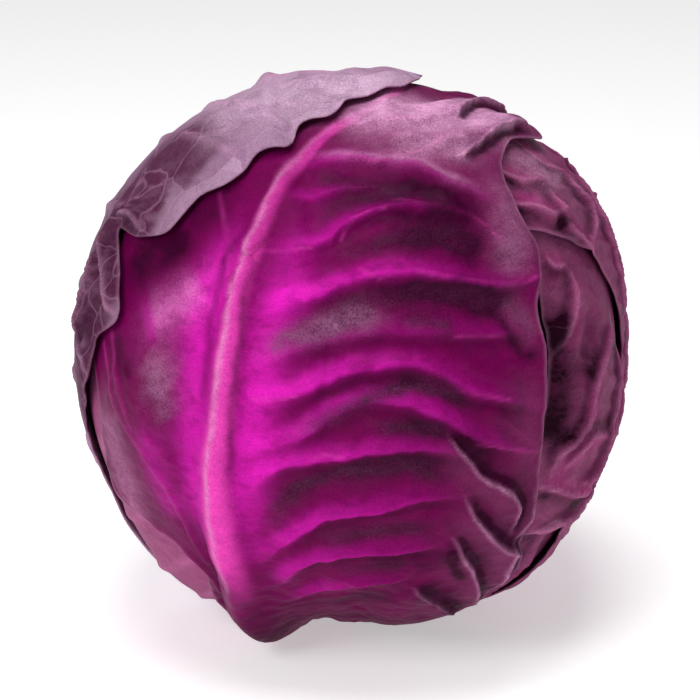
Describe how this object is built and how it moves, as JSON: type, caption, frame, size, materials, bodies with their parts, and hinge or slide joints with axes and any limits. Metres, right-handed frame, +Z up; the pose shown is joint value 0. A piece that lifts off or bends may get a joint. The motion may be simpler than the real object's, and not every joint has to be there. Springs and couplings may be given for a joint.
{
  "type": "cabbage head",
  "caption": "Round red cabbage head of ribbed, pleated leaves wrapped over a dense heart, standing on its cut stem.",
  "frame": {"origin": "middle of the stem's flat cut face, on the surface that the head stands on", "axes": "+Z up through the head, -Y towards the front leaf that the picture shows, +X to its right"},
  "size_m": [0.1661, 0.1705, 0.168],
  "materials": {
    "stem": "matte, pale fibrous cut stem",
    "heart": "satin, dense purple leaves",
    "leaf_dark": "satin, deep purple leaf",
    "leaf_rose": "satin, dusky rose-purple leaf",
    "leaf_magenta": "satin, magenta leaf with pale ribs",
    "leaf_mauve": "satin, mauve leaf with a waxy bloom"
  },
  "bodies": {
    "root": {"stem": "stem", "heart": "heart", "leaf_inner_east": "leaf_dark", "leaf_west": "leaf_rose", "leaf_east": "leaf_rose", "leaf_upper_east": "leaf_rose", "leaf_back": "leaf_magenta", "leaf_front": "leaf_magenta", "leaf_wrapper": "leaf_mauve"}
  },
  "joints": []
}
